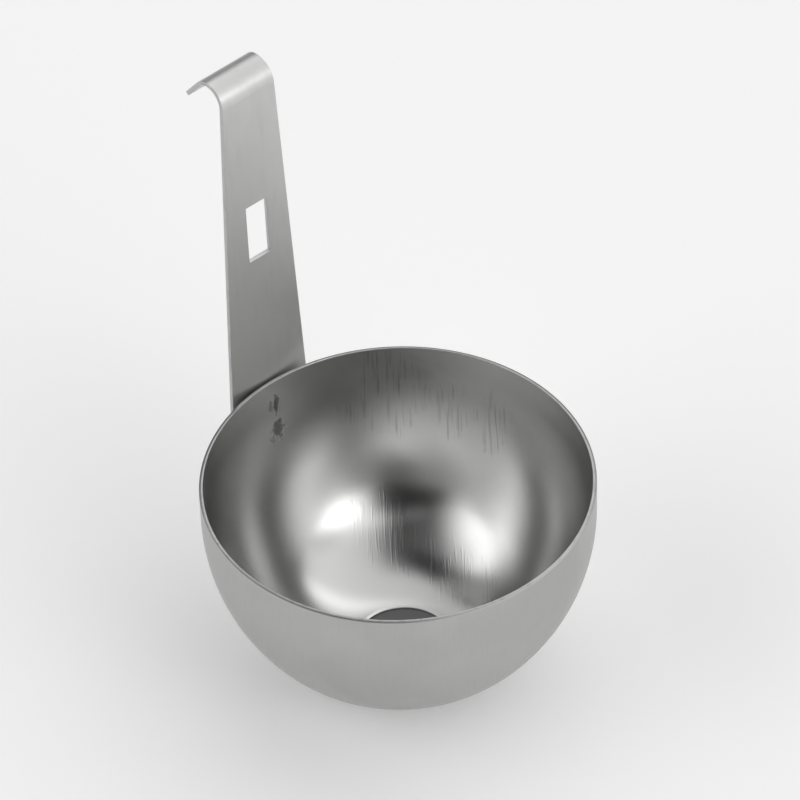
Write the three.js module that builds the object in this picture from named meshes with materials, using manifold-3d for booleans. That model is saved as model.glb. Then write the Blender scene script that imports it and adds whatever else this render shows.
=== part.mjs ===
// Egg poacher cup in sheet stainless steel: a deep-drawn bowl with a drain hole in its base, and a flat
// strip handle that is spot-welded to the bowl's wall and bent over at the top into a hook.
// Millimetres, +Z up, the handle at +Y, the base of the bowl on z = 0.

import * as THREE from 'three';
import { mergeVertices } from 'three/addons/utils/BufferGeometryUtils.js';
import Module from 'manifold-3d';

// Bowl
const rimDiameter = 67;
const bowlHeight = 38;
const bowlSheet = 0.7;
const collarHeight = 6;
const wallDraft = THREE.MathUtils.degToRad(1);
const drainDiameter = 16;

// The arc of the bowl's round bottom, as shares of the rim's radius: its radius, and how far its centre lies
// from the axis
const bottomCurve = 0.776;
const bottomSpread = 0.15;

// Handle strip
const overallHeight = 105;
const stripSheet = 0.8;
const stripLean = THREE.MathUtils.degToRad(2.05);
const stripFootDepth = 16.5;
const stripFootWidth = 17.2;
const stripTopWidth = 11;
const stripCornerRadius = 2.5;
const slotWidth = 4.4;
const slotLength = 12;
const slotHeight = 71.7;

// Hook at the top of the strip
const hookOuterRadius = 3.7;
const hookBend = THREE.MathUtils.degToRad(141.5);
const hookLegLength = 5;

// Spot welds between the strip and the wall
const weldGap = 0.42;
const weldDiameter = 3.4;
const weldClearance = 0.05;
const weldDepths = { upper: 6.2, lower: 11.2 };

// Facets
const roundSteps = 72;
const arcDivisions = 4;
const bendSteps = 14;
const weldSteps = 24;

const wasm = await Module();
wasm.setup();

function polished(color, roughness) {
  return new THREE.MeshStandardMaterial({ color, roughness, metalness: 1 });
}

// Keeps only the positions and joins the vertices that share a place.
function closedGeometry(geometry) {
  geometry.deleteAttribute('normal');
  geometry.deleteAttribute('uv');
  return mergeVertices(geometry);
}

function toSolid(geometry) {
  const closed = closedGeometry(geometry);
  const mesh = new wasm.Mesh({
    numProp: 3,
    vertProperties: new Float32Array(closed.attributes.position.array),
    triVerts: new Uint32Array(closed.index.array),
  });
  return new wasm.Manifold(mesh);
}

function toGeometry(solid) {
  const { vertProperties, triVerts } = solid.getMesh();
  const geometry = new THREE.BufferGeometry();
  geometry.setAttribute('position', new THREE.BufferAttribute(vertProperties, 3));
  geometry.setIndex(new THREE.BufferAttribute(triVerts, 1));
  geometry.computeVertexNormals();
  return geometry;
}

function namedMesh(name, geometry, material) {
  const mesh = new THREE.Mesh(geometry, material);
  mesh.name = name;
  return mesh;
}

// The bowl's outer outline in (radius, height): a drafted collar under the rim, one large arc that carries
// the wall inwards, and the arc of the round bottom, which ends at the drain hole on z = 0. The large arc is
// tangent to both.
function bowlOutline() {
  const rimRadius = rimDiameter / 2;
  const drainRadius = drainDiameter / 2;
  const bottomRadius = bottomCurve * rimRadius;
  const bottomOffset = bottomSpread * rimRadius;
  const bottomCentre = new THREE.Vector2(
    bottomOffset,
    Math.sqrt(bottomRadius ** 2 - (drainRadius - bottomOffset) ** 2),
  );
  const collarEnd = new THREE.Vector2(
    rimRadius - collarHeight * Math.tan(wallDraft),
    bowlHeight - collarHeight,
  );
  const inward = new THREE.Vector2(-Math.cos(wallDraft), Math.sin(wallDraft));
  const reach = collarEnd.clone().sub(bottomCentre);
  const wallRadius = (reach.lengthSq() - bottomRadius ** 2) / (-2 * (reach.dot(inward) + bottomRadius));
  const wallCentre = collarEnd.clone().addScaledVector(inward, wallRadius);
  const meetAngle = bottomCentre.clone().sub(wallCentre).angle() - 2 * Math.PI;
  return { rimRadius, drainRadius, bottomRadius, bottomCentre, wallRadius, wallCentre, meetAngle };
}

// The sheet's closed section: over the rim, down the inside to the drain hole, and back up the outside.
// The inner and the outer arcs share their centres.
function bowlSection(outline) {
  const { rimRadius, drainRadius, bottomRadius, bottomCentre, wallRadius, wallCentre, meetAngle } = outline;
  const drainAngle = (radius) => -Math.acos((drainRadius - bottomCentre.x) / radius);
  const innerBottom = bottomRadius - bowlSheet;
  const section = new THREE.Path();
  section.moveTo(rimRadius, bowlHeight);
  section.lineTo(rimRadius - bowlSheet / Math.cos(wallDraft), bowlHeight);
  section.absarc(wallCentre.x, wallCentre.y, wallRadius - bowlSheet, -wallDraft, meetAngle, true);
  section.absarc(bottomCentre.x, bottomCentre.y, innerBottom, meetAngle, drainAngle(innerBottom), true);
  section.absarc(bottomCentre.x, bottomCentre.y, bottomRadius, drainAngle(bottomRadius), meetAngle, false);
  section.absarc(wallCentre.x, wallCentre.y, wallRadius, meetAngle, -wallDraft, false);
  section.closePath();
  return section.getPoints(arcDivisions);
}

function makeBowl(outline) {
  const geometry = new THREE.LatheGeometry(bowlSection(outline), roundSteps);
  geometry.rotateX(Math.PI / 2);
  return namedMesh('bowl', closedGeometry(geometry), polished(0xb4b5b6, 0.22));
}

// The strip is drawn upright beside the rim: y runs out from the wall, z up from the rim.
// The height of the bend's centre puts the top of the leaning hook at the overall height.
const hookCentre = new THREE.Vector2(weldGap + hookOuterRadius, 0);
hookCentre.y =
  (overallHeight - bowlHeight - hookOuterRadius + hookCentre.x * Math.sin(stripLean)) / Math.cos(stripLean);

// The bent strip seen from its side, as it would lie on the bending tool.
function stripSide() {
  const turnEnd = Math.PI - hookBend;
  const outwards = new THREE.Vector2(Math.cos(turnEnd), Math.sin(turnEnd));
  const along = new THREE.Vector2(outwards.y, -outwards.x);
  const innerRadius = hookOuterRadius - stripSheet;
  const tipOuter = hookCentre.clone()
    .addScaledVector(outwards, hookOuterRadius)
    .addScaledVector(along, hookLegLength);
  const tipInner = tipOuter.clone().addScaledVector(outwards, -stripSheet);
  const side = new THREE.Shape();
  side.moveTo(weldGap, -stripFootDepth);
  side.lineTo(weldGap, hookCentre.y);
  side.absarc(hookCentre.x, hookCentre.y, hookOuterRadius, Math.PI, turnEnd, true);
  side.lineTo(tipOuter.x, tipOuter.y);
  side.lineTo(tipInner.x, tipInner.y);
  side.absarc(hookCentre.x, hookCentre.y, innerRadius, turnEnd, Math.PI, false);
  side.lineTo(weldGap + stripSheet, -stripFootDepth);
  side.closePath();
  return side;
}

// The strip seen from the front: tapered, with rounded corners at the hidden foot and the slot cut out.
function stripFront() {
  const top = hookCentre.y + hookOuterRadius;
  const foot = -stripFootDepth;
  const halfTop = stripTopWidth / 2;
  const halfFoot = stripFootWidth / 2;
  const cornerSide = new THREE.Vector2(halfTop - halfFoot, top - foot).setLength(stripCornerRadius);
  const overTop = top + hookOuterRadius;
  const front = new THREE.Shape();
  front.moveTo(-halfTop, overTop);
  front.lineTo(-halfTop, top);
  front.lineTo(-halfFoot - cornerSide.x, foot + cornerSide.y);
  front.quadraticCurveTo(-halfFoot, foot, -halfFoot + stripCornerRadius, foot);
  front.lineTo(halfFoot - stripCornerRadius, foot);
  front.quadraticCurveTo(halfFoot, foot, halfFoot + cornerSide.x, foot + cornerSide.y);
  front.lineTo(halfTop, top);
  front.lineTo(halfTop, overTop);
  front.closePath();

  const slotMiddle = (slotHeight - bowlHeight) / Math.cos(stripLean);
  const slot = new THREE.Path();
  slot.moveTo(-slotWidth / 2, slotMiddle - slotLength / 2);
  slot.lineTo(-slotWidth / 2, slotMiddle + slotLength / 2);
  slot.lineTo(slotWidth / 2, slotMiddle + slotLength / 2);
  slot.lineTo(slotWidth / 2, slotMiddle - slotLength / 2);
  slot.closePath();
  front.holes.push(slot);
  return front;
}

// What the side view and the front view have in common is the strip.
function makeHandle() {
  const sideWidth = 2 * Math.max(stripFootWidth, stripTopWidth);
  const side = new THREE.ExtrudeGeometry(stripSide(), {
    depth: sideWidth,
    bevelEnabled: false,
    curveSegments: bendSteps,
  });
  side.translate(0, 0, -sideWidth / 2);
  const [x, y, z] = [0, 1, 2].map((axis) => new THREE.Vector3().setComponent(axis, 1));
  side.applyMatrix4(new THREE.Matrix4().makeBasis(y, z, x));

  const frontDepth = 4 * (hookOuterRadius + hookLegLength);
  const front = new THREE.ExtrudeGeometry(stripFront(), { depth: frontDepth, bevelEnabled: false });
  front.translate(0, 0, -frontDepth / 2);
  front.rotateX(Math.PI / 2);

  const strip = toSolid(side).intersect(toSolid(front));
  return namedMesh('hook_handle', toGeometry(strip), polished(0xa9aaab, 0.3));
}

// How far apart the wall and the leaning strip are at a depth below the rim.
function spaceBehindStrip(depth, outline) {
  const { rimRadius, wallRadius, wallCentre } = outline;
  const fall = bowlHeight - depth - wallCentre.y;
  const wall = depth < collarHeight
    ? rimRadius - depth * Math.tan(wallDraft)
    : wallCentre.x + Math.sqrt(wallRadius ** 2 - fall ** 2);
  return rimRadius + weldGap - depth * Math.tan(stripLean) - wall;
}

// A weld nugget is as thick as the space between the wall and the strip where that is narrowest across it.
function makeWeld(name, depth, outline) {
  const edges = [depth - weldDiameter / 2, depth + weldDiameter / 2];
  const space = Math.min(...edges.map((edge) => spaceBehindStrip(edge, outline)));
  const thickness = space - 2 * weldClearance;
  const geometry = new THREE.CylinderGeometry(weldDiameter / 2, weldDiameter / 2, thickness, weldSteps);
  const weld = namedMesh(name, closedGeometry(geometry), polished(0x4d4a48, 0.6));
  weld.position.set(0, weldGap - weldClearance - thickness / 2, -depth / Math.cos(stripLean));
  return weld;
}

// The strip and its welds lean out from the rim.
function makeWeldedHandle(outline) {
  const handle = new THREE.Group();
  handle.add(makeHandle());
  for (const [place, depth] of Object.entries(weldDepths)) {
    handle.add(makeWeld(`spot_weld_${place}`, depth, outline));
  }
  handle.position.set(0, outline.rimRadius, bowlHeight);
  handle.rotation.x = -stripLean;
  return handle;
}

const outline = bowlOutline();
const cup = new THREE.Group();
cup.add(makeBowl(outline), makeWeldedHandle(outline));

// The origin is under the middle of the whole cup, handle included.
cup.updateMatrixWorld(true);
cup.position.y = -new THREE.Box3().setFromObject(cup, true).getCenter(new THREE.Vector3()).y;

export default cup;
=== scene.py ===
"""Egg poacher cup: a drawn steel bowl, a bent strip handle and two spot welds, finished and lit.

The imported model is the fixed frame. Each operator makes one piece or group of pieces in that frame, in
metres: +Z up the bowl's axis, the handle at +Y, the base of the bowl on z = 0.
"""

import math
from collections import namedtuple

import bmesh
import bpy
from bpy.props import FloatProperty, FloatVectorProperty, PointerProperty
from mathutils import Matrix, Vector


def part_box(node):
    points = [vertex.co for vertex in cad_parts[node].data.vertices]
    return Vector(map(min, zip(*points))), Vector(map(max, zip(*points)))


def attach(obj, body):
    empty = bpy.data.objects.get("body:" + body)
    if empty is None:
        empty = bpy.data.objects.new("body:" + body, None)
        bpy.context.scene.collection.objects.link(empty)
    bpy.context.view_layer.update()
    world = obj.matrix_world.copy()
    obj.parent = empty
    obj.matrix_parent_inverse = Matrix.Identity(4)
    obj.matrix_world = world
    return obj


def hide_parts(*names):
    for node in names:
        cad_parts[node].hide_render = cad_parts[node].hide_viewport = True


bl_info = {
    "name": "Egg Poacher Cup",
    "version": (1, 0, 0),
    "blender": (4, 5, 0),
    "location": "View3D > Sidebar > Poacher Cup",
    "description": "Makes and finishes a steel egg poaching cup around its packed model",
    "category": "Add Mesh",
}

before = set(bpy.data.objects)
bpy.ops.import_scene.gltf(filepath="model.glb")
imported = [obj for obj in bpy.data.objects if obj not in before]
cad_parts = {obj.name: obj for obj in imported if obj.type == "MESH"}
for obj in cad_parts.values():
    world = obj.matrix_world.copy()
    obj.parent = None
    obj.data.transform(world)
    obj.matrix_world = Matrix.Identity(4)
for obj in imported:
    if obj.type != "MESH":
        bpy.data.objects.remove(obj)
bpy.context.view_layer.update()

BODY = "root"

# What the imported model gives: the bowl's axis, its rim and its height, and the height of the whole cup.
bowl_low, bowl_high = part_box("bowl")
AXIS = Vector(((bowl_low.x + bowl_high.x) / 2, (bowl_low.y + bowl_high.y) / 2, 0))
RIM_RADIUS = (bowl_high.x - bowl_low.x) / 2
BOWL_HEIGHT = bowl_high.z
OVERALL_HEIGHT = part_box("hook_handle")[1].z

# The arc of the bowl's round bottom, as shares of the rim's radius: its radius, and how far its centre lies
# from the axis.
BOTTOM_CURVE = 0.776
BOTTOM_SPREAD = 0.15

# How finely round shapes are divided.
TURN_STEPS = 256
WALL_STEPS = 28
BOTTOM_STEPS = 28
BEND_STEPS = 28
CORNER_CUT_STEPS = 8
EDGE_STEPS = 3
DIMPLE_STEPS = 8
NUGGET_STEPS = 40

# Vertices nearer to each other than this are at one place.
ONE_PLACE = 0.000007

# Faces that turn by more than this meet at a cut edge.
CUT_ANGLE = math.radians(60)

# A face at the rim belongs to the outside when it faces out and its normal points less than this far up, and
# a face of the strip is one of its cut sides when its normal points more than this far sideways.
RIM_UPWARD = 0.85
STRIP_SIDEWAYS = 0.4

# The rings of an electrode's mark, from its edge inwards: each one's width as a share of the mark's radius,
# and how far it sinks as a share of the mark's depth.
MARK_RINGS = ((0.08, 0.15), (0.12, 0.55), (0.12, 0.3))

# The rounding of a weld nugget's edges, as a share of its thickness.
NUGGET_ROUND = 0.45

# Width of the camera's sensor in millimetres.
SENSOR_WIDTH = 36

# Lines in the steel: how many to the metre, and their scale along x, y and z. The smaller a scale, the longer
# the lines run that way.
Lines = namedtuple("Lines", "fineness scale")

INSIDE_GRAIN = Lines(3600.0, (1, 0.04, 0.04))
INSIDE_SCUFFS = Lines(2600.0, (1, 0.05, 0.05))
OUTSIDE_GRAIN = Lines(2600.0, (1, 0.08, 0.08))
CUT_GRAIN = Lines(900.0, (1, 1, 0.3))
STRIP_GRAIN = Lines(3000.0, (1, 1, 0.05))
STRIP_SCUFFS = Lines(700.0, (1, 1, 0.12))

# How many clouds of handling, pits or fibres there are to the metre.
INSIDE_SMEARS = 70.0
OUTSIDE_SMEARS = 45.0
STRIP_SMEARS = 60.0
WELD_SMEARS = 900.0
WELD_PITS = 2500.0
PAPER_FIBRES = 900.0

# The values of the noise over which scuffs, smears and the dark parts of a cut edge come in.
SCUFF_RANGE = (0.5, 0.68)
SMEAR_RANGE = (0.3, 0.7)
CUT_RANGE = (0.45, 0.8)

# How deep the relief of each finish is.
INSIDE_RELIEF = 0.000002
OUTSIDE_RELIEF = 0.000002
CUT_RELIEF = 0.000001
STRIP_RELIEF = 0.0000014
WELD_RELIEF = 0.00001
PAPER_RELIEF = 0.00002

# What an effect does to the steel where it is strongest: how far it takes the colour towards the streaks',
# what it adds to the roughness, and how far it raises the surface as a share of the finish's relief.
Effect = namedtuple("Effect", "dulling roughening raising", defaults=(0, 0, 0))

INSIDE_EFFECTS = {
    "grain": Effect(raising=1.0),
    "smears": Effect(roughening=0.02),
    "above_polish": Effect(dulling=0.12),
    "wall_scuffs": Effect(dulling=0.5, raising=-1.5),
    "bottom_scuffs": Effect(raising=-3.0),
    "scorch": Effect(roughening=0.2),
}
OUTSIDE_EFFECTS = {
    "grain": Effect(dulling=0.12, roughening=0.06, raising=1.0),
    "smears": Effect(dulling=0.14, roughening=0.08),
}
STRIP_EFFECTS = {
    "grain": Effect(raising=1.0),
    "scuffs": Effect(dulling=0.04, roughening=0.02, raising=-0.3),
    "smears": Effect(dulling=0.08, roughening=0.08),
}

# A cut edge's darker parts as a share of its colour, and what its grain adds to its roughness.
CUT_DARKER = 0.8
CUT_ROUGHENING = 0.1

# How far smears take the weld metal's colour towards the scorched one, its roughness, and what pits add to
# that.
WELD_DARKENING = 0.6
WELD_ROUGHNESS = 0.4
WELD_PITTED = 0.3

# A paper's paler fibres as a multiple of its colour, its roughness, and what the fibres add to that.
PAPER_PALER = 1.02
PAPER_ROUGHNESS = 0.8
PAPER_ROUGHENING = 0.1

# The noise that makes a mark's outline ragged: its fineness and detail, and how far it moves the outline
# either way as a share of the mark's half size.
Outline = namedtuple("Outline", "fineness detail reach")

RUB_OUTLINE = Outline(300.0, 2, 1.2)
SCORCH_OUTLINE = Outline(1300.0, 4, 1.6)
TINT_OUTLINE = Outline(500.0, 2, 0.35)

# How far a mark fades on either side of its outline, as a share of its half size.
MARK_FADE = 0.3

# The heat tint round an electrode's mark: its radius, how far it reaches through the strip, and its strength.
TINT_RADIUS = 0.0036
TINT_REACH = 0.02
TINT_STRENGTH = 0.55

# A place on the bowl's inside where the drawing streaks show: bearing from +X in degrees, distance from the
# axis, height above the base, and half the width and height of the place.
Rub = namedtuple("Rub", "bearing radius height half_width half_height")

WALL_RUBS = (
    Rub(54, 0.0325, 0.0290, 0.0065, 0.0085),
    Rub(35, 0.0316, 0.0240, 0.0035, 0.0055),
    Rub(21, 0.0319, 0.0250, 0.0030, 0.0060),
)
BOTTOM_RUBS = (
    Rub(56, 0.0215, 0.0070, 0.0065, 0.0060),
    Rub(13, 0.0155, 0.0030, 0.0070, 0.0040),
)

# A smudge of a scorch mark inside the bowl: how far across and above its weld, half its width and height, and
# its strength. The upper weld's marks come first.
Smudge = namedtuple("Smudge", "across above half_width half_height strength")

SCORCH_MARKS = (
    (Smudge(0.0002, 0.0008, 0.0005, 0.0022, 0.7), Smudge(-0.0009, 0.0010, 0.0004, 0.0012, 0.35)),
    (Smudge(0.0002, 0.0006, 0.0010, 0.0016, 0.7), Smudge(-0.0010, -0.0010, 0.0007, 0.0008, 0.3)),
)
SCORCH_REACH = 0.004

# A patch of the tent's wall as seen from the cup. Bearing from +X, tilt from overhead and turn are in
# degrees, the half sizes are sines, and the edge is the share of the half size over which it fades.
Patch = namedtuple("Patch", "bearing tilt turn half_width half_height edge strength")

# Dark flags stand behind the soft boxes, and dark cards in front of them.
DARK_FLAGS = {
    "camera_side": Patch(191, 48.5, -12, 0.51, 0.75, 0.14, 0.82),
    "back_left": Patch(109, 43, 70, 0.77, 0.20, 0.32, 1.0),
}
SOFT_BOXES = {
    "right": Patch(-65.5, 72.5, 33, 1.0, 0.53, 0.73, 0.61),
    "back": Patch(104.5, 58.5, -36, 0.89, 0.18, 0.19, 1.25),
    "front": Patch(275.5, 59, -29, 0.45, 0.15, 0.98, 2.92),
    "left": Patch(162, 60, 137, 0.45, 0.35, 0.75, 1.84),
    "top_right": Patch(-4, 38, 39, 0.50, 0.07, 0.89, 0.87),
    "back_right": Patch(51.5, 54.5, 9, 0.33, 0.06, 0.81, 2.14),
    "top_front": Patch(272.5, 46.5, -1, 0.20, 0.17, 0.6, 0.33),
}
DARK_CARDS = {
    "camera": Patch(206, 72.5, 37, 0.81, 0.24, 0.51, 1.0),
    "front_left": Patch(236, 73.5, 5.5, 0.17, 0.68, 0.62, 0.88),
    "back_low": Patch(52.5, 74, 30, 0.85, 0.27, 0.51, 0.80),
}


def length(name, description, default):
    return FloatProperty(name=name, description=description, default=default, unit="LENGTH", precision=5)


def angle(name, description, degrees):
    return FloatProperty(name=name, description=description, default=math.radians(degrees), unit="ROTATION")


def share(name, description, default):
    return FloatProperty(name=name, description=description, default=default, min=0, max=1, subtype="FACTOR")


def level(name, description, default):
    return FloatProperty(name=name, description=description, default=default, min=0)


def colour(name, description, default):
    return FloatVectorProperty(
        name=name, description=description, default=default, size=3, min=0, max=1, subtype="COLOR"
    )


class BowlSizes(bpy.types.PropertyGroup):
    """The drawn bowl's section"""

    sheet: length("Sheet", "Thickness of the bowl's sheet", 0.0007)
    collar: length("Collar", "Height of the straight collar under the rim", 0.006)
    draft: angle("Draft", "Lean of the collar", 1.0)
    bottom_radius: length("Bottom radius", "Outer radius of the bottom's arc", BOTTOM_CURVE * RIM_RADIUS)
    bottom_offset: length("Bottom offset", "From the axis to that arc's centre", BOTTOM_SPREAD * RIM_RADIUS)
    drain_radius: length("Drain radius", "Radius of the hole in the base", 0.008)
    rim_slope: length("Rim slope", "Width of the rim's outer part, which slopes outwards", 0.00044)
    rim_fall: length("Rim fall", "How far that slope falls to the rim's outer edge", 0.00018)
    rim_round: length("Rim rounding", "How far the cut rim's edges are taken off", 0.0001)
    drain_round: length("Drain rounding", "How far the punched hole's edges are taken off", 0.00012)


class HandleSizes(bpy.types.PropertyGroup):
    """The strip that is tapered, slotted and bent into the handle"""

    sheet: length("Sheet", "Thickness of the strip", 0.0008)
    gap: length("Gap", "Space between the bowl's rim and the strip", 0.00042)
    lean: angle("Lean", "Lean of the strip away from the bowl", 2.05)
    foot_depth: length("Foot depth", "How far the strip reaches below the rim", 0.0165)
    foot_width: length("Foot width", "Width of the strip at its foot", 0.0172)
    top_width: length("Top width", "Width of the strip at the hook", 0.011)
    foot_corner: length("Foot corner", "Rounding of the foot's corners", 0.0025)
    slot_width: length("Slot width", "Width of the slot", 0.0044)
    slot_length: length("Slot length", "Length of the slot along the strip", 0.012)
    slot_height: length("Slot height", "Height of the slot's middle above the base", 0.0717)
    hook_radius: length("Hook radius", "Outer radius of the hook's bend", 0.0037)
    hook_bend: angle("Hook bend", "How far the strip is bent over", 141.5)
    hook_leg: length("Hook leg", "Length of the straight end after the bend", 0.005)
    edge_round: length("Edge rounding", "How far the strip's cut edges are taken off", 0.00012)


class WeldSizes(bpy.types.PropertyGroup):
    """The two spot welds between the strip and the wall"""

    diameter: length("Diameter", "Width of a weld", 0.0034)
    upper_depth: length("Upper depth", "Depth of the upper weld below the rim", 0.0062)
    lower_depth: length("Lower depth", "Depth of the lower weld below the rim", 0.0112)
    clearance: length("Clearance", "Space left on each side of a weld", 0.00005)
    mark_diameter: length("Mark diameter", "Width of the electrode's mark in the strip's back", 0.0038)
    mark_depth: length("Mark depth", "Depth of the electrode's mark in the strip's back", 0.00009)


class Finish(bpy.types.PropertyGroup):
    """Colours and gloss of the steel and the floor"""

    inside: colour("Inside", "Colour of the polished inside", (0.62, 0.62, 0.615))
    outside: colour("Outside", "Colour of the satin outside", (0.5, 0.5, 0.497))
    strip: colour("Strip", "Colour of the handle's strip", (0.64, 0.64, 0.636))
    streak: colour("Streak", "Colour of the drawing streaks", (0.34, 0.34, 0.335))
    scorch: colour("Scorch", "Colour of the burnt marks inside the bowl at the welds", (0.12, 0.118, 0.114))
    straw: colour("Straw tint", "Heat tint around the electrode marks", (0.52, 0.465, 0.36))
    rim: colour("Rim", "Colour of the bowl's cut edges", (0.42, 0.42, 0.417))
    sheared: colour("Sheared edge", "Colour of the strip's dull sheared sides", (0.5, 0.5, 0.497))
    weld: colour("Weld", "Colour of the weld metal", (0.3, 0.29, 0.28))
    floor: colour("Floor", "Colour of the floor", (0.93, 0.93, 0.93))
    # The dark disc under the drain hole is painted shade: it makes the floor seen through the hole look
    # shaded.
    shade_card: colour("Card", "Colour of the dark card under the drain hole", (0.23, 0.23, 0.23))
    rolling: angle("Rolling", "Turn of the sheet's rolling lines round the bowl's axis", -38.5)
    polish_height: length("Polish height", "Height up to which the inside is polished", 0.0155)
    polish_fade: length("Polish fade", "Height over which the polish fades out above that", 0.0085)
    polish: share("Polished roughness", "Roughness of the polished bottom of the inside", 0.19)
    wall: share("Wall roughness", "Roughness of the inside above the polished part", 0.25)
    satin: share("Satin roughness", "Roughness of the outside", 0.42)
    handle: share("Handle roughness", "Roughness of the handle", 0.43)
    rim_roughness: share("Rim roughness", "Least roughness of the bowl's cut edges", 0.26)
    sheared_roughness: share("Sheared roughness", "Least roughness of the strip's sheared sides", 0.4)


class Studio(bpy.types.PropertyGroup):
    """The camera, the lights and the floor"""

    bearing: angle("Bearing", "Turn of the camera round the cup, from straight in front", -38.503)
    height: angle("Height", "Angle of the camera above the floor", 43.807)
    roll: angle("Roll", "Turn of the picture", -2.13)
    distance: length("Distance", "From the camera to the point it looks at", 3.0)
    lens: FloatProperty(name="Lens", description="Focal length", default=806.2, unit="CAMERA")
    aim_right: length("Aim right", "Point looked at, to the right of the bowl's axis", 0.001123)
    aim_up: length("Aim up", "Point looked at, above the floor", 0.056613)
    overhead: level("Overhead", "Brightness of the tent overhead, which fades out towards the floor", 0.79)
    backdrop: level("Backdrop", "Brightness behind the floor", 0.92)
    table: level("Table", "Glow of the lit table that is the floor", 0.15)
    # Size and height of the dark disc of painted shade under the drain hole.
    shade_card_radius: length("Card radius", "Radius of the dark card under the drain hole", 0.00795)
    shade_card_height: length("Card height", "Height of that card above the floor", 0.00035)
    floor_width: length("Floor width", "Width of the floor", 12.0)


# Nodes

def place(tree, kind, inputs=None, **settings):
    """Adds a node. An input is given a plain value or the output that feeds it."""
    node = tree.nodes.new(kind)
    for name, value in settings.items():
        setattr(node, name, value)
    for name, value in (inputs or {}).items():
        if isinstance(value, bpy.types.NodeSocket):
            tree.links.new(value, node.inputs[name])
        else:
            node.inputs[name].default_value = value
    return node


def maths(tree, operation, *values):
    return place(tree, "ShaderNodeMath", dict(enumerate(values)), operation=operation).outputs[0]


def vectors(tree, operation, *values, output=0):
    return place(tree, "ShaderNodeVectorMath", dict(enumerate(values)), operation=operation).outputs[output]


def noise(tree, vector, scale, detail=2.0, distortion=0.0):
    inputs = {"Vector": vector, "Scale": scale, "Detail": detail, "Distortion": distortion}
    return place(tree, "ShaderNodeTexNoise", inputs).outputs[0]


def fade(tree, value, low, high, to_low=0.0, to_high=1.0):
    """Carries a value smoothly from one range to another."""
    inputs = {"Value": value, "From Min": low, "From Max": high, "To Min": to_low, "To Max": to_high}
    return place(tree, "ShaderNodeMapRange", inputs, interpolation_type="SMOOTHSTEP").outputs[0]


def blend(tree, factor, first, second):
    """Mixes two colours, which are inputs 6 and 7 and output 2 of the Mix node."""
    node = place(tree, "ShaderNodeMix", {0: factor, 6: first, 7: second}, data_type="RGBA")
    return node.outputs[2]


def bump(tree, height, depth):
    inputs = {"Height": height, "Distance": depth, "Strength": 1.0}
    return place(tree, "ShaderNodeBump", inputs).outputs[0]


def opaque(rgb):
    return (*rgb, 1.0)


def start_group(name, inputs, output):
    """An empty shader group, with its input and output nodes."""
    group = bpy.data.node_groups.new(name, "ShaderNodeTree")
    for socket, kind in inputs.items():
        group.interface.new_socket(socket, in_out="INPUT", socket_type=kind)
    group.interface.new_socket(output[0], in_out="OUTPUT", socket_type=output[1])
    return group, group.nodes.new("NodeGroupInput").outputs, group.nodes.new("NodeGroupOutput").inputs


def use_group(tree, maker, inputs):
    """Places a shared effect, which is built the first time it is asked for."""
    group = bpy.data.node_groups.get(maker.__name__) or maker(maker.__name__)
    return place(tree, "ShaderNodeGroup", inputs, node_tree=group).outputs[0]


def drawn_grain(name):
    """Fine lines that rolling, drawing or brushing leaves."""
    inputs = {"Place": "NodeSocketVector", "Fineness": "NodeSocketFloat", "Along": "NodeSocketVector"}
    group, given, result = start_group(name, inputs, ("Grain", "NodeSocketFloat"))
    stretched = vectors(group, "MULTIPLY", given["Place"], given["Along"])
    group.links.new(noise(group, stretched, given["Fineness"], detail=3), result["Grain"])
    return group


def long_scuffs(name):
    """Scattered single streaks."""
    inputs = {"Place": "NodeSocketVector", "Fineness": "NodeSocketFloat", "Along": "NodeSocketVector"}
    group, given, result = start_group(name, inputs, ("Scuffs", "NodeSocketFloat"))
    stretched = vectors(group, "MULTIPLY", given["Place"], given["Along"])
    lines = noise(group, stretched, given["Fineness"], detail=1)
    group.links.new(fade(group, lines, *SCUFF_RANGE), result["Scuffs"])
    return group


def smears(name):
    """Broad soft changes of gloss from handling."""
    inputs = {"Place": "NodeSocketVector", "Fineness": "NodeSocketFloat"}
    group, given, result = start_group(name, inputs, ("Smears", "NodeSocketFloat"))
    cloud = noise(group, given["Place"], given["Fineness"], detail=4, distortion=0.6)
    group.links.new(fade(group, cloud, *SMEAR_RANGE), result["Smears"])
    return group


# Materials

def start_material(name, metal=1.0):
    material = bpy.data.materials.new(name)
    material.use_nodes = True
    tree = material.node_tree
    shader = tree.nodes["Principled BSDF"]
    shader.inputs["Metallic"].default_value = metal
    here = tree.nodes.new("ShaderNodeTexCoord").outputs["Object"]
    return material, tree, shader, here


def dress(tree, shader, base, roughness, normal):
    tree.links.new(base, shader.inputs["Base Color"])
    tree.links.new(roughness, shader.inputs["Roughness"])
    tree.links.new(normal, shader.inputs["Normal"])


def lines_on(tree, maker, where, lines):
    """Places a pattern of lines."""
    return use_group(tree, maker, {"Place": where, "Fineness": lines.fineness, "Along": lines.scale})


def smears_on(tree, where, fineness):
    return use_group(tree, smears, {"Place": where, "Fineness": fineness})


def add_up(tree, quality, effects, masks):
    """What the effects add to one quality of the steel, each where its mask shows it."""
    total = 0.0
    for name, mask in masks.items():
        weight = getattr(effects[name], quality)
        if weight:
            total = maths(tree, "MULTIPLY_ADD", mask, weight, total)
    return total


def along_rolling(tree, here, look):
    """Places in the rolled sheet's own directions: x across its lines, y along them."""
    inputs = {"Vector": here, "Rotation": (0, 0, -look.rolling)}
    return place(tree, "ShaderNodeMapping", inputs).outputs[0]


def weld_heights(welds):
    return [BOWL_HEIGHT - depth for depth in (welds.upper_depth, welds.lower_depth)]


def ragged_by(tree, here, outline):
    """How far a mark's ragged outline is moved at each place."""
    waver = noise(tree, here, outline.fineness, outline.detail)
    return maths(tree, "MULTIPLY_ADD", waver, 2 * outline.reach, -outline.reach)


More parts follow.
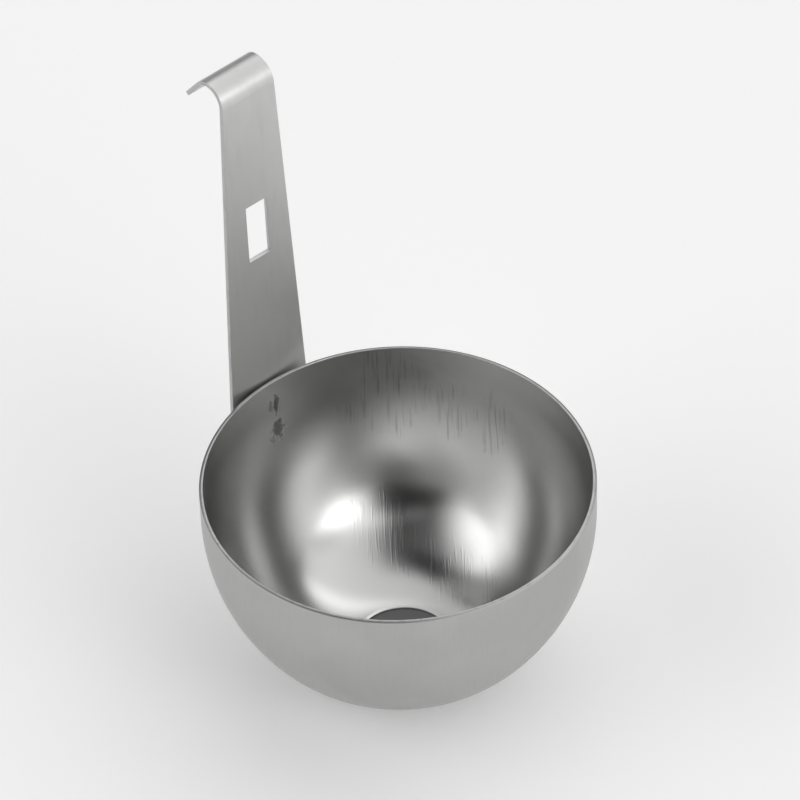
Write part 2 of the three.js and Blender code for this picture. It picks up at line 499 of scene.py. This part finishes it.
def spot(tree, here, middle, half_size, ragged):
    """A ragged-edged mark round a middle: 1 inside, 0 outside."""
    offset = vectors(tree, "SUBTRACT", here, middle)
    scaled = vectors(tree, "DIVIDE", offset, half_size)
    reach = vectors(tree, "LENGTH", scaled, output=1)
    rough_reach = maths(tree, "ADD", reach, ragged)
    return fade(tree, rough_reach, 1 + MARK_FADE, 1 - MARK_FADE)


def rubbed(tree, here, rubs, ragged):
    """Where the drawing streaks show: 1 in the middle of each place, 0 outside all of them."""
    shown = 0.0
    for rub in rubs:
        bearing = math.radians(rub.bearing)
        middle = AXIS + Vector((rub.radius * math.cos(bearing), rub.radius * math.sin(bearing), rub.height))
        half_size = (rub.half_width, rub.half_width, rub.half_height)
        shown = maths(tree, "MAXIMUM", spot(tree, here, middle, half_size, ragged), shown)
    return shown


def scorch_marks(tree, here, bowl, welds):
    """Burnt smudges inside the bowl at the welds."""
    ragged = ragged_by(tree, here, SCORCH_OUTLINE)
    wall_back = AXIS.y + RIM_RADIUS - bowl.sheet
    shown = 0.0
    for smudges, weld_height in zip(SCORCH_MARKS, weld_heights(welds)):
        for smudge in smudges:
            middle = (smudge.across, wall_back, weld_height + smudge.above)
            half_size = (smudge.half_width, SCORCH_REACH, smudge.half_height)
            burnt = maths(tree, "MULTIPLY", spot(tree, here, middle, half_size, ragged), smudge.strength)
            shown = maths(tree, "MAXIMUM", burnt, shown)
    return shown


def bowl_inside(scene):
    """Steel polished up to a line round the wall, with drawing streaks and scorched spots at the welds."""
    look = scene.cup_finish
    material, tree, shader, here = start_material("bowl_inside")
    rolled = along_rolling(tree, here, look)
    scuffs = lines_on(tree, long_scuffs, rolled, INSIDE_SCUFFS)
    ragged = ragged_by(tree, here, RUB_OUTLINE)
    height = place(tree, "ShaderNodeSeparateXYZ", {"Vector": here}).outputs["Z"]
    masks = {
        "grain": lines_on(tree, drawn_grain, rolled, INSIDE_GRAIN),
        "smears": smears_on(tree, here, INSIDE_SMEARS),
        "above_polish": fade(tree, height, look.polish_height, look.polish_height + look.polish_fade),
        "wall_scuffs": maths(tree, "MULTIPLY", scuffs, rubbed(tree, here, WALL_RUBS, ragged)),
        "bottom_scuffs": maths(tree, "MULTIPLY", scuffs, rubbed(tree, here, BOTTOM_RUBS, ragged)),
        "scorch": scorch_marks(tree, here, scene.cup_bowl, scene.cup_welds),
    }
    dulled = add_up(tree, "dulling", INSIDE_EFFECTS, masks)
    streaked = blend(tree, dulled, opaque(look.inside), opaque(look.streak))
    base = blend(tree, masks["scorch"], streaked, opaque(look.scorch))
    finish = fade(tree, masks["above_polish"], 0.0, 1.0, look.polish, look.wall)
    roughness = maths(tree, "ADD", finish, add_up(tree, "roughening", INSIDE_EFFECTS, masks))
    relief = add_up(tree, "raising", INSIDE_EFFECTS, masks)
    dress(tree, shader, base, roughness, bump(tree, relief, INSIDE_RELIEF))
    return material


def bowl_outside(scene):
    """Satin steel, a little cloudy, with faint rolling lines."""
    look = scene.cup_finish
    material, tree, shader, here = start_material("bowl_outside")
    rolled = along_rolling(tree, here, look)
    masks = {
        "grain": lines_on(tree, drawn_grain, rolled, OUTSIDE_GRAIN),
        "smears": smears_on(tree, here, OUTSIDE_SMEARS),
    }
    dulled = add_up(tree, "dulling", OUTSIDE_EFFECTS, masks)
    base = blend(tree, dulled, opaque(look.outside), opaque(look.streak))
    roughness = maths(tree, "ADD", look.satin, add_up(tree, "roughening", OUTSIDE_EFFECTS, masks))
    relief = add_up(tree, "raising", OUTSIDE_EFFECTS, masks)
    dress(tree, shader, base, roughness, bump(tree, relief, OUTSIDE_RELIEF))
    return material


def cut_edge(name, shade, smoothest):
    """Bare steel where the sheet was cut."""
    material, tree, shader, here = start_material(name)
    grain = lines_on(tree, drawn_grain, here, CUT_GRAIN)
    darker = opaque([channel * CUT_DARKER for channel in shade])
    base = blend(tree, fade(tree, grain, *CUT_RANGE), opaque(shade), darker)
    roughness = maths(tree, "MULTIPLY_ADD", grain, CUT_ROUGHENING, smoothest)
    dress(tree, shader, base, roughness, bump(tree, grain, CUT_RELIEF))
    return material


def heat_tint(tree, here, handle, welds):
    """The tinted steel round the electrode marks."""
    ragged = ragged_by(tree, here, TINT_OUTLINE)
    strip_back = AXIS.y + RIM_RADIUS + handle.gap + handle.sheet
    half_size = (TINT_RADIUS, TINT_REACH, TINT_RADIUS)
    tints = [spot(tree, here, (0, strip_back, height), half_size, ragged) for height in weld_heights(welds)]
    return maths(tree, "MULTIPLY", maths(tree, "MAXIMUM", *tints), TINT_STRENGTH)


def handle_satin(scene):
    """Satin strip with fine lines along its length and a heat tint round the electrode marks."""
    look = scene.cup_finish
    material, tree, shader, here = start_material("handle_satin")
    masks = {
        "grain": lines_on(tree, drawn_grain, here, STRIP_GRAIN),
        "scuffs": lines_on(tree, long_scuffs, here, STRIP_SCUFFS),
        "smears": smears_on(tree, here, STRIP_SMEARS),
    }
    dulled = add_up(tree, "dulling", STRIP_EFFECTS, masks)
    worn = blend(tree, dulled, opaque(look.strip), opaque(look.streak))
    base = blend(tree, heat_tint(tree, here, scene.cup_handle, scene.cup_welds), worn, opaque(look.straw))
    roughness = maths(tree, "ADD", look.handle, add_up(tree, "roughening", STRIP_EFFECTS, masks))
    relief = add_up(tree, "raising", STRIP_EFFECTS, masks)
    dress(tree, shader, base, roughness, bump(tree, relief, STRIP_RELIEF))
    return material


def weld_metal(scene):
    """Dull remelted steel."""
    look = scene.cup_finish
    material, tree, shader, here = start_material("weld_metal")
    cloudy = smears_on(tree, here, WELD_SMEARS)
    pits = noise(tree, here, WELD_PITS, detail=4)
    darkened = maths(tree, "MULTIPLY", cloudy, WELD_DARKENING)
    base = blend(tree, darkened, opaque(look.weld), opaque(look.scorch))
    roughness = maths(tree, "MULTIPLY_ADD", pits, WELD_PITTED, WELD_ROUGHNESS)
    dress(tree, shader, base, roughness, bump(tree, pits, WELD_RELIEF))
    return material


def matt_paper(name, shade):
    """Matt paper with a faint fibre."""
    material, tree, shader, here = start_material(name, metal=0.0)
    fibre = noise(tree, here, PAPER_FIBRES, detail=3)
    paler = opaque([min(1.0, channel * PAPER_PALER) for channel in shade])
    base = blend(tree, fibre, opaque(shade), paler)
    roughness = maths(tree, "MULTIPLY_ADD", fibre, PAPER_ROUGHENING, PAPER_ROUGHNESS)
    dress(tree, shader, base, roughness, bump(tree, fibre, PAPER_RELIEF))
    return material


def lit_table(scene):
    """Pale paper with a light under it."""
    material = matt_paper("lit_table", scene.cup_finish.floor)
    shader = material.node_tree.nodes["Principled BSDF"]
    shader.inputs["Emission Color"].default_value = opaque(scene.cup_finish.floor)
    shader.inputs["Emission Strength"].default_value = scene.cup_studio.table
    return material


# Meshes

def of_kind(kind, parts):
    return [part for part in parts if isinstance(part, kind)]


def arc_on(bm, end, centre, turn, steps):
    """Carries a section's end vertex round an arc, anticlockwise in (radius, height)."""
    arc = bmesh.ops.spin(
        bm, geom=[end], cent=centre, axis=(0, -1, 0), angle=turn, steps=steps, use_duplicate=False
    )
    return of_kind(bmesh.types.BMVert, arc["geom_last"])[0]


def line_on(bm, end, point):
    """Draws a straight edge from a section's end vertex to a point."""
    vert = bm.verts.new(point)
    bm.edges.new((end, vert))
    return vert


def soften(bm, parts, offset, steps, affect="EDGES"):
    bmesh.ops.bevel(
        bm, geom=parts, offset=offset, offset_type="OFFSET", segments=steps, profile=0.5,
        affect=affect, material=-1, clamp_overlap=True,
    )


def finish_piece(bm, name, node, materials):
    """Makes the mesh an object at the origin that stands for a CAD node."""
    mesh = bpy.data.meshes.new(name)
    bm.to_mesh(mesh)
    bm.free()
    mesh.shade_smooth()
    for material in materials:
        mesh.materials.append(material)
    piece = bpy.data.objects.new(name, mesh)
    bpy.context.scene.collection.objects.link(piece)
    piece.modifiers.new("Even shading", "WEIGHTED_NORMAL")
    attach(piece, BODY)
    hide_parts(node)


def bowl_arcs(bowl):
    """The wall's large arc is tangent to the collar above it and to the bottom's arc below it, and that one
    ends at the drain hole on z = 0. Gives the large arc's centre as (radius, height) and its radius, the
    centre of the bottom's arc, and the angle where the two meet."""
    out = bowl.drain_radius - bowl.bottom_offset
    bottom = Vector((bowl.bottom_offset, math.sqrt(bowl.bottom_radius**2 - out**2)))
    collar_end = Vector((RIM_RADIUS - bowl.collar * math.tan(bowl.draft), BOWL_HEIGHT - bowl.collar))
    inward = Vector((-math.cos(bowl.draft), math.sin(bowl.draft)))
    reach = collar_end - bottom
    radius = (reach.length_squared - bowl.bottom_radius**2) / (-2 * (reach.dot(inward) + bowl.bottom_radius))
    wall = collar_end + inward * radius
    to_bottom = bottom - wall
    return wall, radius, bottom, math.atan2(to_bottom.y, to_bottom.x)


def draw_wall(bm, bowl, depth, top):
    """Draws one side of the sheet from the drain hole to its top, at a depth under the outside."""
    wall, _, bottom, meet = bowl_arcs(bowl)
    bottom_radius = bowl.bottom_radius - depth
    begin = -math.acos((bowl.drain_radius - bottom.x) / bottom_radius)
    start = bm.verts.new((bowl.drain_radius, 0, bottom.y + bottom_radius * math.sin(begin)))
    end = arc_on(bm, start, (bottom.x, 0, bottom.y), meet - begin, BOTTOM_STEPS)
    end = arc_on(bm, end, (wall.x, 0, wall.y), -bowl.draft - meet, WALL_STEPS)
    at_rim = RIM_RADIUS - depth / math.cos(bowl.draft)
    end = line_on(bm, end, (at_rim - (BOWL_HEIGHT - top) * math.tan(bowl.draft), 0, top))
    return start, end


def spin_bowl(bowl):
    """The sheet's section spun round the axis, with its cut edges taken off."""
    bm = bmesh.new()
    outer_drain, outer_rim = draw_wall(bm, bowl, 0, BOWL_HEIGHT - bowl.rim_fall)
    inner_drain, inner_rim = draw_wall(bm, bowl, bowl.sheet, BOWL_HEIGHT)
    crest = line_on(bm, outer_rim, (RIM_RADIUS - bowl.rim_slope, 0, BOWL_HEIGHT))
    bm.edges.new((crest, inner_rim))
    bm.edges.new((outer_drain, inner_drain))
    rims = [vert.co.copy() for vert in (outer_rim, inner_rim)]
    drains = [vert.co.copy() for vert in (outer_drain, inner_drain)]
    bmesh.ops.spin(
        bm, geom=bm.verts[:] + bm.edges[:], cent=(0, 0, 0), axis=(0, 0, 1), angle=math.tau,
        steps=TURN_STEPS, use_merge=True, use_duplicate=False,
    )
    bmesh.ops.remove_doubles(bm, verts=bm.verts[:], dist=ONE_PLACE)
    bmesh.ops.recalc_face_normals(bm, faces=bm.faces[:])

    def runs_round(edge, ring):
        return all(
            abs(vert.co.xy.length - ring.x) < ONE_PLACE and abs(vert.co.z - ring.z) < ONE_PLACE
            for vert in edge.verts
        )

    for rings, offset in ((rims, bowl.rim_round), (drains, bowl.drain_round)):
        edges = [edge for edge in bm.edges if any(runs_round(edge, ring) for ring in rings)]
        soften(bm, edges, offset, EDGE_STEPS)
    return bm


def part_bowl_faces(bm, bowl):
    """Numbers the materials: 0 the inside, 1 the outside, 2 the cut edges."""
    bm.normal_update()
    core = Vector((0, 0, BOWL_HEIGHT))
    for face in bm.faces:
        middle = face.calc_center_median()
        at_rim = middle.z > BOWL_HEIGHT - bowl.rim_fall - bowl.rim_round
        at_drain = middle.xy.length < bowl.drain_radius + bowl.drain_round
        faces_out = face.normal.dot(core - middle) < 0
        eased_outside = faces_out and face.normal.z < RIM_UPWARD
        if at_drain or at_rim and not eased_outside:
            face.material_index = 2
        elif faces_out:
            face.material_index = 1


def handle_place(handle):
    """From the strip's own frame, where y runs out from the wall and z up from the rim."""
    at_rim = AXIS + Vector((0, RIM_RADIUS, BOWL_HEIGHT))
    return Matrix.Translation(at_rim) @ Matrix.Rotation(-handle.lean, 4, "X")


def hook_centre(handle):
    """The centre of the hook's bend, at the height that puts the leaning hook's top where it belongs."""
    out = handle.gap + handle.hook_radius
    rise = OVERALL_HEIGHT - BOWL_HEIGHT - handle.hook_radius
    return Vector((0, out, (rise + out * math.sin(handle.lean)) / math.cos(handle.lean)))


def weld_places(handle, welds):
    """Heights of the welds in the strip's own frame, the lower one first."""
    return [-depth / math.cos(handle.lean) for depth in (welds.lower_depth, welds.upper_depth)]


def press_mark(bm, face, welds):
    """Presses the electrode's round mark into a square face of the strip."""
    middle = face.calc_center_median()
    side = face.edges[0].calc_length()
    radius = welds.mark_diameter / 2
    bmesh.ops.inset_region(bm, faces=[face], thickness=side / 2 - radius)
    bmesh.ops.bisect_edges(bm, edges=face.edges[:], cuts=DIMPLE_STEPS - 1)
    for vert in face.verts:
        vert.co = middle + (vert.co - middle).normalized() * radius
    for inset, sink in MARK_RINGS:
        bmesh.ops.inset_region(
            bm, faces=[face], thickness=inset * radius, depth=-sink * welds.mark_depth, use_even_offset=True
        )


def bend_strip(handle, welds):
    """The strip drawn up from its foot, bent over, slotted, thickened and eased along its edges."""
    foot = -handle.foot_depth
    centre = hook_centre(handle)
    slot_middle = (handle.slot_height - BOWL_HEIGHT) / math.cos(handle.lean)
    half_slot = handle.slot_width / 2
    heights = [weld + side * half_slot for weld in weld_places(handle, welds) for side in (-1, 1)]
    heights += [slot_middle - handle.slot_length / 2, slot_middle + handle.slot_length / 2, centre.z]

    def on_side(vert):
        """Whether a vertex is on one of the strip's long sides, and not in line with the slot's."""
        return abs(vert.co.x) > (half_slot + handle.top_width / 2) / 2

    bm = bmesh.new()
    columns = (-handle.foot_width / 2, -half_slot, half_slot, handle.foot_width / 2)
    row = [bm.verts.new((x, handle.gap, foot)) for x in columns]
    edges = [bm.edges.new(pair) for pair in zip(row, row[1:])]
    for start, end in zip([foot] + heights, heights):
        drawn = bmesh.ops.extrude_edge_only(bm, edges=edges)["geom"]
        edges = of_kind(bmesh.types.BMEdge, drawn)
        bmesh.ops.translate(bm, verts=of_kind(bmesh.types.BMVert, drawn), vec=(0, 0, end - start))
    bent = bmesh.ops.spin(
        bm, geom=edges, cent=centre, axis=(-1, 0, 0), angle=handle.hook_bend, steps=BEND_STEPS,
        use_duplicate=False,
    )
    drawn = bmesh.ops.extrude_edge_only(bm, edges=of_kind(bmesh.types.BMEdge, bent["geom_last"]))["geom"]
    leg = Matrix.Rotation(-handle.hook_bend, 3, "X") @ Vector((0, 0, handle.hook_leg))
    bmesh.ops.translate(bm, verts=of_kind(bmesh.types.BMVert, drawn), vec=leg)

    top = centre.z + handle.hook_radius
    for vert in bm.verts:
        if on_side(vert):
            up = (vert.co.z - foot) / (top - foot)
            width = handle.foot_width + (handle.top_width - handle.foot_width) * up
            vert.co.x = math.copysign(width / 2, vert.co.x)

    in_slot = Vector((0, handle.gap, slot_middle))
    slot = min(bm.faces, key=lambda face: (face.calc_center_median() - in_slot).length)
    bmesh.ops.delete(bm, geom=[slot], context="FACES_ONLY")
    foot_corners = [vert for vert in bm.verts if vert.co.z < foot + ONE_PLACE and on_side(vert)]
    soften(bm, foot_corners, handle.foot_corner, CORNER_CUT_STEPS, affect="VERTICES")

    bmesh.ops.recalc_face_normals(bm, faces=bm.faces[:])
    bmesh.ops.solidify(bm, geom=bm.faces[:], thickness=handle.sheet)
    bmesh.ops.recalc_face_normals(bm, faces=bm.faces[:])
    cut_edges = [edge for edge in bm.edges if edge.calc_face_angle(0) > CUT_ANGLE]
    soften(bm, cut_edges, handle.edge_round, EDGE_STEPS)

    back = handle.gap + handle.sheet
    for height in weld_places(handle, welds):
        at_weld = Vector((0, back, height))
        press_mark(bm, min(bm.faces, key=lambda face: (face.calc_center_median() - at_weld).length), welds)
    return bm


def part_strip_faces(bm):
    """Numbers the materials: 0 the strip's faces, 1 its cut sides."""
    bm.normal_update()
    for face in bm.faces:
        if abs(face.normal.x) > STRIP_SIDEWAYS:
            face.material_index = 1


def space_behind_strip(bowl, handle, depth):
    """How far apart the wall and the leaning strip are at a depth below the rim."""
    wall, radius, _, _ = bowl_arcs(bowl)
    if depth < bowl.collar:
        wall_here = RIM_RADIUS - depth * math.tan(bowl.draft)
    else:
        wall_here = wall.x + math.sqrt(radius**2 - (BOWL_HEIGHT - depth - wall.y) ** 2)
    return RIM_RADIUS + handle.gap - depth * math.tan(handle.lean) - wall_here


def weld_nugget(bowl, handle, welds, depth):
    """A round nugget with a bulging side that fills the space between the wall and the strip."""
    edges = (depth - welds.diameter / 2, depth + welds.diameter / 2)
    space = min(space_behind_strip(bowl, handle, edge) for edge in edges)
    thickness = space - 2 * welds.clearance
    bm = bmesh.new()
    bmesh.ops.create_circle(bm, cap_ends=True, radius=welds.diameter / 2, segments=NUGGET_STEPS)
    sides = bmesh.ops.extrude_face_region(bm, geom=bm.faces[:])["geom"]
    bmesh.ops.translate(bm, verts=of_kind(bmesh.types.BMVert, sides), vec=(0, 0, thickness))
    bmesh.ops.recalc_face_normals(bm, faces=bm.faces[:])
    rims = [edge for edge in bm.edges if edge.calc_face_angle(0) > CUT_ANGLE]
    soften(bm, rims, NUGGET_ROUND * thickness, EDGE_STEPS)
    middle = (0, handle.gap - welds.clearance, -depth / math.cos(handle.lean))
    stand = Matrix.Translation(middle) @ Matrix.Rotation(math.pi / 2, 4, "X")
    bmesh.ops.transform(bm, matrix=handle_place(handle) @ stand, verts=bm.verts[:])
    return bm


# Studio

def tent_patch(name):
    """A soft-edged oval on the tent's wall: 1 in its middle, 0 outside it."""
    inputs = {
        "Direction": "NodeSocketVector",
        "Toward": "NodeSocketVector",
        "Across": "NodeSocketVector",
        "Upward": "NodeSocketVector",
        "Half Width": "NodeSocketFloat",
        "Half Height": "NodeSocketFloat",
        "Edge": "NodeSocketFloat",
    }
    group, given, result = start_group(name, inputs, ("Share", "NodeSocketFloat"))

    def along(axis):
        return vectors(group, "DOT_PRODUCT", given["Direction"], given[axis], output=1)

    across = maths(group, "DIVIDE", along("Across"), given["Half Width"])
    upward = maths(group, "DIVIDE", along("Upward"), given["Half Height"])
    flat = place(group, "ShaderNodeCombineXYZ", {"X": across, "Y": upward}).outputs[0]
    reach = vectors(group, "LENGTH", flat, output=1)
    inner = maths(group, "SUBTRACT", 1.0, given["Edge"])
    outer = maths(group, "ADD", 1.0, given["Edge"])
    oval = fade(group, reach, inner, outer, 1.0, 0.0)
    in_front = maths(group, "GREATER_THAN", along("Toward"), 0.0)
    group.links.new(maths(group, "MULTIPLY", oval, in_front), result["Share"])
    return group


def place_patch(tree, direction, patch):
    """Places a patch of the tent by its angles."""
    bearing, tilt, turn = (math.radians(value) for value in (patch.bearing, patch.tilt, patch.turn))
    aim = Matrix.Rotation(bearing, 3, "Z") @ Matrix.Rotation(tilt, 3, "Y") @ Matrix.Rotation(turn, 3, "Z")
    inputs = {
        "Direction": direction,
        "Toward": aim.col[2],
        "Across": aim.col[1],
        "Upward": aim.col[0],
        "Half Width": patch.half_width,
        "Half Height": patch.half_height,
        "Edge": patch.edge,
    }
    return use_group(tree, tent_patch, inputs)


def shade_off(tree, direction, patch, glow):
    """What a dark patch leaves of the glow behind it."""
    left_over = maths(tree, "MULTIPLY_ADD", place_patch(tree, direction, patch), -patch.strength, 1.0)
    return maths(tree, "MULTIPLY", glow, left_over)


def pitch_tent(studio):
    """A tent lit from overhead, with flags, soft boxes and cards. The camera itself sees a plain backdrop."""
    world = bpy.data.worlds.new("tent")
    world.use_nodes = True
    tree = world.node_tree
    direction = tree.nodes.new("ShaderNodeTexCoord").outputs["Generated"]
    height = place(tree, "ShaderNodeSeparateXYZ", {"Vector": direction}).outputs["Z"]
    glow = maths(tree, "MULTIPLY", maths(tree, "MAXIMUM", height, 0.0), studio.overhead)
    for flag in DARK_FLAGS.values():
        glow = shade_off(tree, direction, flag, glow)
    for box in SOFT_BOXES.values():
        glow = maths(tree, "MULTIPLY_ADD", place_patch(tree, direction, box), box.strength, glow)
    for shade_card in DARK_CARDS.values():
        glow = shade_off(tree, direction, shade_card, glow)
    seen = tree.nodes.new("ShaderNodeLightPath").outputs["Is Camera Ray"]
    # Inputs 2 and 3 of the Mix node are its plain values.
    shown = place(tree, "ShaderNodeMix", {0: seen, 2: glow, 3: studio.backdrop}).outputs[0]
    tree.links.new(shown, tree.nodes["Background"].inputs["Strength"])
    tree.nodes["Background"].inputs["Color"].default_value = (1, 1, 1, 1)
    bpy.context.scene.world = world


def set_camera(studio):
    camera = bpy.data.cameras.new("camera")
    camera.sensor_width = SENSOR_WIDTH
    camera.lens = studio.lens
    holder = bpy.data.objects.new("camera", camera)
    turn = (
        Matrix.Rotation(studio.bearing, 4, "Z")
        @ Matrix.Rotation(math.pi / 2 - studio.height, 4, "X")
        @ Matrix.Rotation(studio.roll, 4, "Z")
    )
    aim = AXIS + Vector((studio.aim_right, 0, studio.aim_up))
    back = turn.to_3x3() @ Vector((0, 0, studio.distance))
    holder.matrix_world = Matrix.Translation(aim + back) @ turn
    bpy.context.scene.collection.objects.link(holder)
    bpy.context.scene.camera = holder


def stage_piece(bm, name, material):
    """Makes the mesh a piece of the studio, which isn't part of the cup."""
    mesh = bpy.data.meshes.new(name)
    bm.to_mesh(mesh)
    bm.free()
    mesh.materials.append(material)
    piece = bpy.data.objects.new(name, mesh)
    bpy.context.scene.collection.objects.link(piece)


def lay_floor(scene):
    bm = bmesh.new()
    bmesh.ops.create_grid(bm, x_segments=1, y_segments=1, size=scene.cup_studio.floor_width / 2)
    stage_piece(bm, "floor", lit_table(scene))


def lay_shade_card(scene):
    """A small dark disc on the floor under the drain hole: painted shade, so that the floor seen through the
    hole looks shaded.
    """
    bm = bmesh.new()
    studio = scene.cup_studio
    bmesh.ops.create_circle(bm, cap_ends=True, radius=studio.shade_card_radius, segments=TURN_STEPS)
    bmesh.ops.translate(bm, verts=bm.verts[:], vec=AXIS + Vector((0, 0, studio.shade_card_height)))
    stage_piece(bm, "drain_shade_card", matt_paper("painted_shade_card", scene.cup_finish.shade_card))


# Operators

class CUP_OT_make_bowl(bpy.types.Operator):
    """Draw the bowl's section, spin it round the axis and finish its steel"""

    bl_idname = "cup.make_bowl"
    bl_label = "Make Bowl"

    def execute(self, context):
        scene = context.scene
        bm = spin_bowl(scene.cup_bowl)
        part_bowl_faces(bm, scene.cup_bowl)
        bmesh.ops.translate(bm, verts=bm.verts[:], vec=AXIS)
        look = scene.cup_finish
        rim_edge = cut_edge("rim_edge", look.rim, look.rim_roughness)
        materials = [bowl_inside(scene), bowl_outside(scene), rim_edge]
        finish_piece(bm, "bowl_shell", "bowl", materials)
        return {"FINISHED"}


class CUP_OT_make_handle(bpy.types.Operator):
    """Draw the strip, bend its hook, cut its slot and finish its steel"""

    bl_idname = "cup.make_handle"
    bl_label = "Make Handle"

    def execute(self, context):
        scene = context.scene
        bm = bend_strip(scene.cup_handle, scene.cup_welds)
        part_strip_faces(bm)
        bmesh.ops.transform(bm, matrix=handle_place(scene.cup_handle), verts=bm.verts[:])
        look = scene.cup_finish
        sheared_edge = cut_edge("sheared_edge", look.sheared, look.sheared_roughness)
        finish_piece(bm, "handle_strip", "hook_handle", [handle_satin(scene), sheared_edge])
        return {"FINISHED"}


class CUP_OT_make_welds(bpy.types.Operator):
    """Fill the spaces between wall and strip with the two weld nuggets"""

    bl_idname = "cup.make_welds"
    bl_label = "Make Welds"

    def execute(self, context):
        scene = context.scene
        welds = scene.cup_welds
        metal = weld_metal(scene)
        for where, depth in (("upper", welds.upper_depth), ("lower", welds.lower_depth)):
            bm = weld_nugget(scene.cup_bowl, scene.cup_handle, welds, depth)
            finish_piece(bm, f"weld_nugget_{where}", f"spot_weld_{where}", [metal])
        return {"FINISHED"}


class CUP_OT_set_stage(bpy.types.Operator):
    """Lay the floor and a dark disc of painted shade under the drain hole, pitch the tent with its lights and
    set the camera
    """

    bl_idname = "cup.set_stage"
    bl_label = "Set Stage"

    def execute(self, context):
        studio = context.scene.cup_studio
        lay_floor(context.scene)
        # The dark disc under the drain hole is painted shade.
        lay_shade_card(context.scene)
        pitch_tent(studio)
        set_camera(studio)
        context.scene.view_settings.view_transform = "Standard"
        return {"FINISHED"}


class CUP_PT_panel(bpy.types.Panel):
    """The cup's pieces and their settings"""

    bl_idname = "CUP_PT_panel"
    bl_label = "Egg Poacher Cup"
    bl_space_type = "VIEW_3D"
    bl_region_type = "UI"
    bl_category = "Poacher Cup"

    def draw(self, context):
        for operator in OPERATORS:
            self.layout.operator(operator.bl_idname)
        for name, settings in SETTINGS.items():
            box = self.layout.box()
            for key in settings.__annotations__:
                box.prop(getattr(context.scene, name), key)


SETTINGS = {
    "cup_bowl": BowlSizes,
    "cup_handle": HandleSizes,
    "cup_welds": WeldSizes,
    "cup_finish": Finish,
    "cup_studio": Studio,
}
OPERATORS = (CUP_OT_make_bowl, CUP_OT_make_handle, CUP_OT_make_welds, CUP_OT_set_stage)


def register():
    for cls in (*SETTINGS.values(), *OPERATORS, CUP_PT_panel):
        bpy.utils.register_class(cls)
    for name, cls in SETTINGS.items():
        setattr(bpy.types.Scene, name, PointerProperty(type=cls))


def unregister():
    for name in SETTINGS:
        delattr(bpy.types.Scene, name)
    for cls in reversed((*SETTINGS.values(), *OPERATORS, CUP_PT_panel)):
        bpy.utils.unregister_class(cls)


def main():
    register()
    bpy.ops.cup.make_bowl()
    bpy.ops.cup.make_handle()
    bpy.ops.cup.make_welds()
    bpy.ops.cup.set_stage()


if __name__ == "__main__":
    main()
